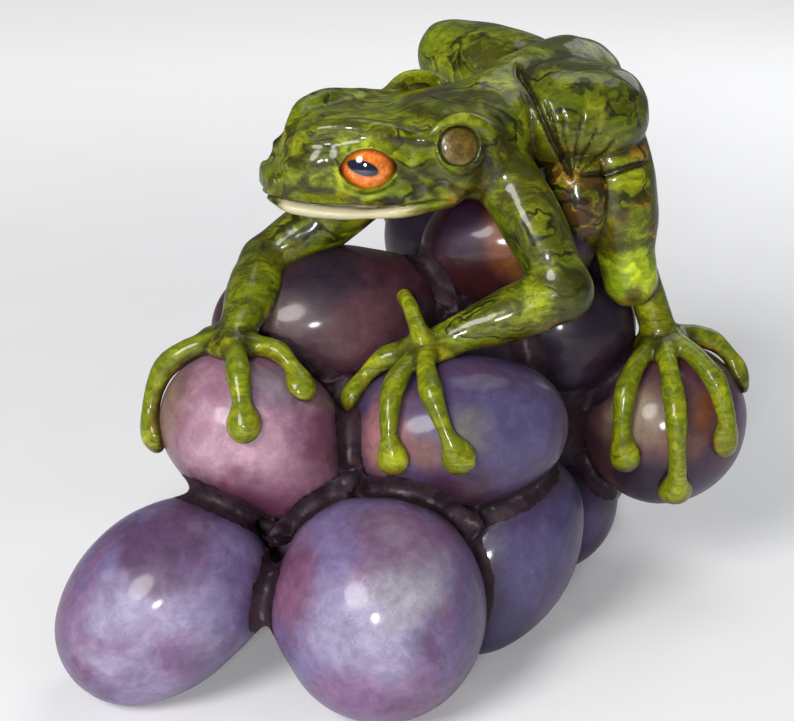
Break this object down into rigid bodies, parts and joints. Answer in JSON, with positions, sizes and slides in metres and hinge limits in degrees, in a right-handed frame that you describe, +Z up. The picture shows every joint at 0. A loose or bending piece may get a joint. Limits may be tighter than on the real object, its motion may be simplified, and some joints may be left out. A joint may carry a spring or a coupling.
{
  "type": "frog figurine",
  "caption": "Glazed ceramic frog crouching on a pile of grapes: trunk, head, eyes, legs and digits luted on grapes joined with slip.",
  "frame": {"origin": "middle of the footprint, on the table the grapes stand on", "axes": "+Z up, +X to the right in the picture, along the longest side; the frog's snout points towards -X"},
  "size_m": [0.1047, 0.0926, 0.0869],
  "materials": {
    "grape_glaze": "satin",
    "slip": "satin",
    "frog_glaze": "gloss",
    "eye_glaze": "gloss",
    "eardrum_glaze": "gloss"
  },
  "bodies": {
    "root": {"grape_back_left": "grape_glaze", "grape_back_right": "grape_glaze", "grape_base_back_left": "grape_glaze", "grape_base_back_right": "grape_glaze", "grape_base_left": "grape_glaze", "grape_base_middle": "grape_glaze", "grape_base_right": "grape_glaze", "grape_front": "grape_glaze", "grape_front_left": "grape_glaze", "grape_front_right": "grape_glaze", "grape_middle": "grape_glaze", "grape_right": "grape_glaze", "grape_top": "grape_glaze", "grape_top_back": "grape_glaze", "grape_top_left": "grape_glaze", "grape_upper_front": "grape_glaze", "grape_upper_left": "grape_glaze", "grape_upper_right": "grape_glaze", "head": "frog_glaze", "left_eardrum": "eardrum_glaze", "left_eye": "eye_glaze", "left_first_finger": "frog_glaze", "left_first_toe": "frog_glaze", "left_foot": "frog_glaze", "left_forearm": "frog_glaze", "left_fourth_finger": "frog_glaze", "left_fourth_toe": "frog_glaze", "left_palm": "frog_glaze", "left_second_finger": "frog_glaze", "left_second_toe": "frog_glaze", "left_shank": "frog_glaze", "left_sole": "frog_glaze", "left_thigh": "frog_glaze", "left_third_finger": "frog_glaze", "left_third_toe": "frog_glaze", "left_upper_arm": "frog_glaze", "right_eardrum": "eardrum_glaze", "right_eye": "eye_glaze", "right_first_finger": "frog_glaze", "right_first_toe": "frog_glaze", "right_foot": "frog_glaze", "right_forearm": "frog_glaze", "right_fourth_finger": "frog_glaze", "right_fourth_toe": "frog_glaze", "right_palm": "frog_glaze", "right_second_finger": "frog_glaze", "right_second_toe": "frog_glaze", "right_shank": "frog_glaze", "right_sole": "frog_glaze", "right_thigh": "frog_glaze", "right_third_finger": "frog_glaze", "right_third_toe": "frog_glaze", "right_upper_arm": "frog_glaze", "slip": "slip", "trunk": "frog_glaze"}
  },
  "joints": []
}
